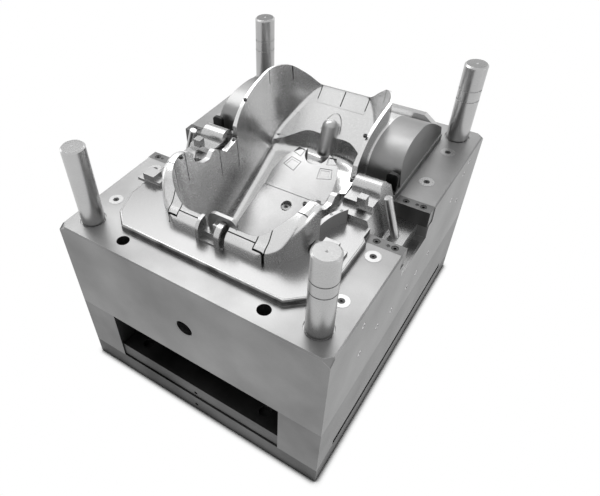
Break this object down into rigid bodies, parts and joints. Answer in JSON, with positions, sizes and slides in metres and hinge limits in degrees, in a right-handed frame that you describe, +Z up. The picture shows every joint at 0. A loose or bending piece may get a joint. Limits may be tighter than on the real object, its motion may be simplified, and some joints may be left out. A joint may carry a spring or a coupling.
{
  "type": "child car seat mould",
  "caption": "Moving half of an injection mould for a child car seat shell: seat form, side sliders, guide pillars and ejector plates.",
  "frame": {"origin": "middle of the clamp plate's underside", "axes": "+X to the right along the front face, +Y into the depth, +Z up, the way the mould half opens"},
  "size_m": [0.8, 0.97, 0.783],
  "materials": {
    "machined_steel": "fine milled and ground faces",
    "polished_steel": "hand polished mould surface",
    "ground_steel": "hardened and ground",
    "plate_steel": "milled plate",
    "dark_steel": "blackened",
    "black_screw": "black oxide"
  },
  "bodies": {
    "mould_half": {"arc_insert_left": "polished_steel", "arc_insert_right": "polished_steel", "buckle_peg": "polished_steel", "cavity_insert": "polished_steel", "clamp_plate": "plate_steel", "clamp_screws": "black_screw", "core_plate": "machined_steel", "ejector_guide_pins": "ground_steel", "gib_dowels": "ground_steel", "gib_front_left": "machined_steel", "gib_front_right": "machined_steel", "gib_rear_left": "machined_steel", "gib_rear_right": "machined_steel", "gib_screws": "black_screw", "guide_pillar_front_left": "ground_steel", "guide_pillar_front_right": "ground_steel", "guide_pillar_rear_left": "ground_steel", "guide_pillar_rear_right": "ground_steel", "insert_screws": "black_screw", "notch_block": "polished_steel", "pad_screws": "black_screw", "pan_screw": "black_screw", "parting_pads": "machined_steel", "rear_heel_bar": "machined_steel", "seat_pan_front": "polished_steel", "seat_pan_rear": "polished_steel", "spacer_block_left": "plate_steel", "spacer_block_right": "plate_steel", "step_block_left": "polished_steel", "step_block_right": "polished_steel", "stop_discs": "plate_steel", "stop_plate_left": "dark_steel", "stop_plate_right": "dark_steel", "support_pillars": "plate_steel", "wear_plate_left": "ground_steel", "wear_plate_right": "ground_steel"},
    "ejector_set": {"corner_ejector_left": "polished_steel", "corner_ejector_right": "polished_steel", "ejector_base_plate": "plate_steel", "ejector_retainer_plate": "plate_steel", "ejector_rods": "ground_steel", "ejector_screws": "black_screw", "saddle_ejector_left": "polished_steel", "saddle_ejector_right": "polished_steel", "side_ejector_left": "polished_steel", "side_ejector_right": "polished_steel", "waist_ejector_left": "polished_steel", "waist_ejector_right": "polished_steel", "wing_ejector_left": "polished_steel", "wing_ejector_right": "polished_steel"},
    "slider_left": {"angle_pin_left": "ground_steel", "slider_left": "polished_steel"},
    "slider_right": {"angle_pin_right": "ground_steel", "slider_right": "polished_steel"}
  },
  "joints": [
    {"name": "ejector_stroke", "type": "slide", "parent": "mould_half", "child": "ejector_set", "axis": [0, 0, 1], "range_m": [0, 0.12]},
    {"name": "slider_left_travel", "type": "slide", "parent": "mould_half", "child": "slider_left", "axis": [-1, 0, 0], "range_m": [0, 0.028]},
    {"name": "slider_right_travel", "type": "slide", "parent": "mould_half", "child": "slider_right", "axis": [1, 0, 0], "range_m": [0, 0.028]}
  ]
}
